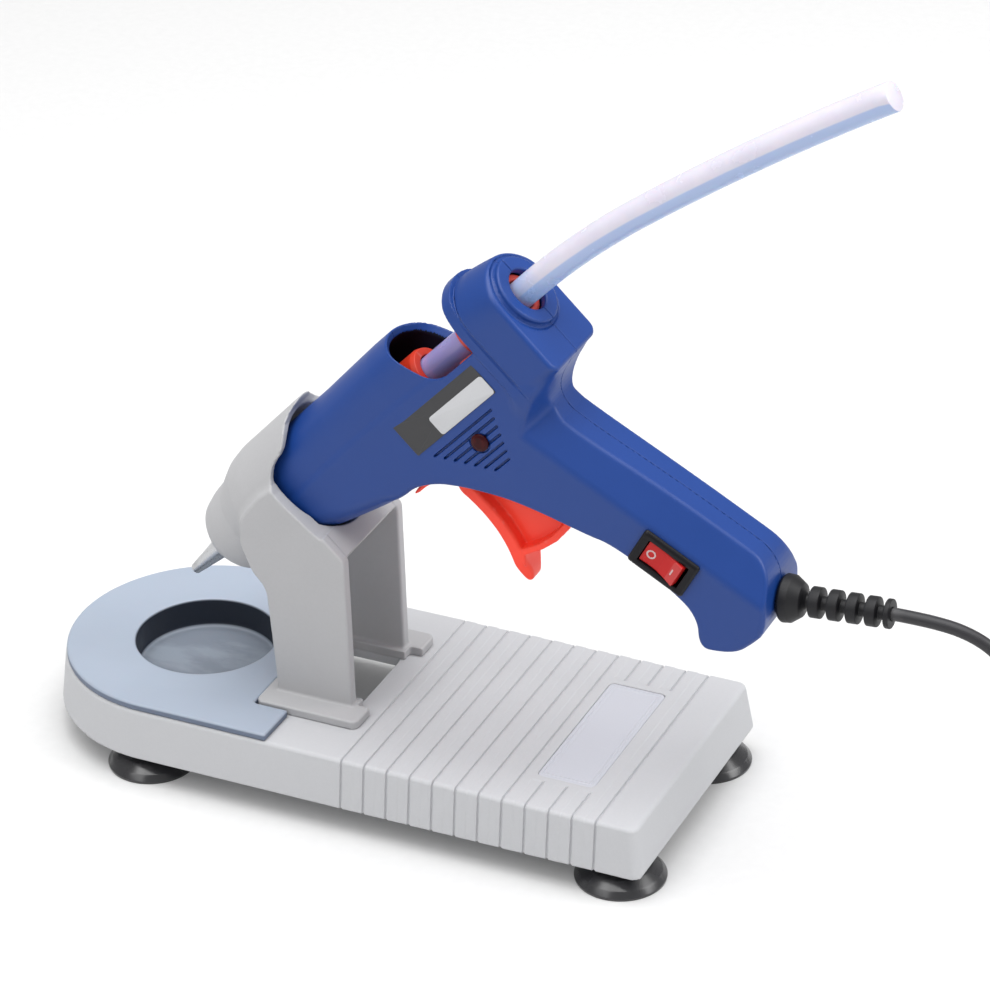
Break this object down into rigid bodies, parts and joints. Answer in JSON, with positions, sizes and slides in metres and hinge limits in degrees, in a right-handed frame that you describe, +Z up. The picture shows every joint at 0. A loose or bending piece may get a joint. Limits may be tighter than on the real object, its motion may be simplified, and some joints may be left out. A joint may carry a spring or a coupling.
{
  "type": "glue gun",
  "caption": "Small trigger-fed hot glue gun resting nose-down in a suction-foot stand with a drip dish, glue stick loaded.",
  "frame": {"origin": "on the table, under the middle of the object without its lead", "axes": "+X from the nozzle end of the stand to the tail of the glue stick, +Y across the stand to the gun's right side, +Z up"},
  "size_m": [0.3959, 0.0971, 0.2176],
  "materials": {
    "base_plastic": "fine satin",
    "panel_plastic": "smooth matt",
    "silicone_pad": "matt",
    "bracket_plastic": "fine satin",
    "steel": "satin",
    "housing_blue": "fine satin moulded",
    "nozzle_metal": "satin",
    "aluminium": "cast",
    "phenolic": "matt",
    "ceramic": "matt",
    "red_silicone": "matt",
    "lens_red": "gloss",
    "lamp_glass": "gloss",
    "label": "printed film",
    "switch_black": "satin",
    "brass": "satin",
    "rocker_red": "semi gloss",
    "trigger_red": "semi gloss",
    "carriage_red": "satin",
    "glue": "translucent waxy",
    "wire_sleeve": "woven glass sleeve",
    "cord_black": "satin",
    "tie_black": "satin",
    "plug_black": "fine texture",
    "plug_metal": "nickel plated",
    "cup_rubber": "smooth"
  },
  "bodies": {
    "stand": {"base_shell": "base_plastic", "name_plate": "panel_plastic", "drip_pad": "silicone_pad", "cradle_bracket": "bracket_plastic", "cradle_screws": "steel", "suction_cup_front_left": "cup_rubber", "suction_cup_front_right": "cup_rubber", "suction_cup_rear_left": "cup_rubber", "suction_cup_rear_right": "cup_rubber", "cord_coil": "cord_black", "cord_tie": "tie_black", "plug_lead": "cord_black", "plug_body": "plug_black", "plug_pins": "plug_metal"},
    "gun": {"left_shell": "housing_blue", "right_shell": "housing_blue", "shell_screws": "steel", "nozzle": "nozzle_metal", "valve_ball": "steel", "valve_spring": "steel", "melt_chamber": "aluminium", "chamber_ring": "phenolic", "ptc_heater": "ceramic", "heater_clip": "steel", "inlet_sleeve": "red_silicone", "indicator_lens": "lens_red", "indicator_lamp": "lamp_glass", "rating_label": "label", "switch_body": "switch_black", "switch_terminals": "brass", "trigger_pin": "steel", "return_spring": "steel", "heater_leads": "wire_sleeve", "mains_leads": "wire_sleeve", "cord_clamp": "housing_blue", "strain_relief": "cord_black", "power_cord": "cord_black"},
    "trigger": {"trigger": "trigger_red"},
    "feed_carriage": {"feed_carriage": "carriage_red", "grip_jaw": "steel"},
    "glue_stick": {"glue_stick": "glue"},
    "switch_rocker": {"switch_rocker": "rocker_red"}
  },
  "joints": [
    {"name": "gun_lift", "type": "slide", "parent": "stand", "child": "gun", "axis": [0.6947, 0, 0.7193], "range_m": [0, 0.09]},
    {"name": "trigger_pull", "type": "hinge", "parent": "gun", "child": "trigger", "pos_m": [0.00517, 0, 0.09876], "axis": [0, -1, 0], "range_deg": [0, 16], "stiffness_Nm_per_rad": 0.25, "springref_deg": -20.05},
    {"name": "carriage_feed", "type": "slide", "parent": "gun", "child": "feed_carriage", "axis": [-0.6947, 0, -0.7193], "range_m": [0, 0.0036], "deforming": ["return_spring"]},
    {"name": "stick_feed", "type": "slide", "parent": "gun", "child": "glue_stick", "axis": [-0.6947, 0, -0.7193], "range_m": [-0.06, 0.008]},
    {"name": "switch_rock", "type": "hinge", "parent": "gun", "child": "switch_rocker", "pos_m": [0.06224, -0.0102, 0.08445], "axis": [0.4848, 0, 0.8746], "range_deg": [0, 18]}
  ],
  "couplings": [
    {"joint": "carriage_feed", "follows": "trigger_pull", "m_per_rad": 0.0124}
  ]
}
